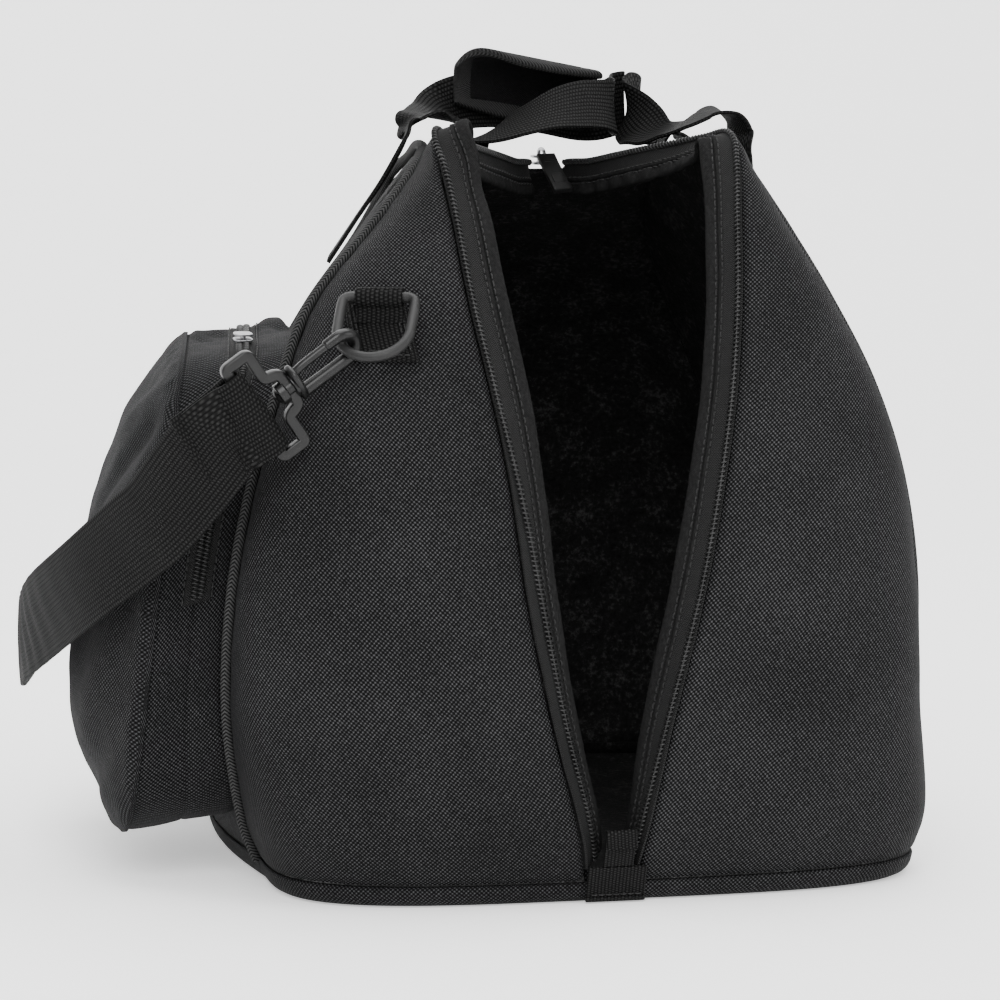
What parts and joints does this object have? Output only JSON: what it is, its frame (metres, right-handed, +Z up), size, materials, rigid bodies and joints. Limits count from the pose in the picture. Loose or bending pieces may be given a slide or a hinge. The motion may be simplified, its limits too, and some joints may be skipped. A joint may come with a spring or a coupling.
{
  "type": "motorcycle helmet bag",
  "caption": "Padded cloth bag for a motorcycle helmet, zipped open at the front and top, with a side pocket, shoulder strap and a wrapped carrying handle.",
  "frame": {"origin": "middle of the flat underside, on the floor", "axes": "+Z up, the open mouth faces -Y, the side pocket is on -X"},
  "size_m": [0.3886, 0.375, 0.3565],
  "materials": {
    "cloth": "coarse woven polyester, matt charcoal black",
    "edge_trim": "ribbed and twilled cloth tape, matt black",
    "zip_tape": "herringbone zip tape with a plastic coil",
    "webbing": "ribbed polyester webbing, black",
    "hard_plastic": "moulded black plastic, satin where worn",
    "slider_metal": "grey plated metal",
    "pull_rubber": "soft black rubber"
  },
  "bodies": {
    "root": {"base_panel": "cloth", "front_panel_right": "cloth", "front_panel_left": "cloth", "side_panel_right": "cloth", "side_panel_left": "cloth", "back_panel": "cloth", "pocket_gusset": "cloth", "pocket_face": "cloth", "piping_left": "edge_trim", "piping_right": "edge_trim", "binding_left": "edge_trim", "binding_right": "edge_trim", "zip_end_tab": "edge_trim", "grip_wrap": "edge_trim", "zip_left": "zip_tape", "zip_right": "zip_tape", "pocket_zip": "zip_tape", "base_tab": "webbing", "ring_patch_front": "webbing", "ring_patch_back": "webbing", "shoulder_strap": "webbing", "handle_left": "webbing", "handle_right": "webbing", "d_ring_front": "hard_plastic", "d_ring_back": "hard_plastic", "snap_hook_front": "hard_plastic", "snap_hook_back": "hard_plastic", "zip_slider": "slider_metal", "pocket_slider": "slider_metal", "zip_pull": "pull_rubber"}
  },
  "joints": []
}
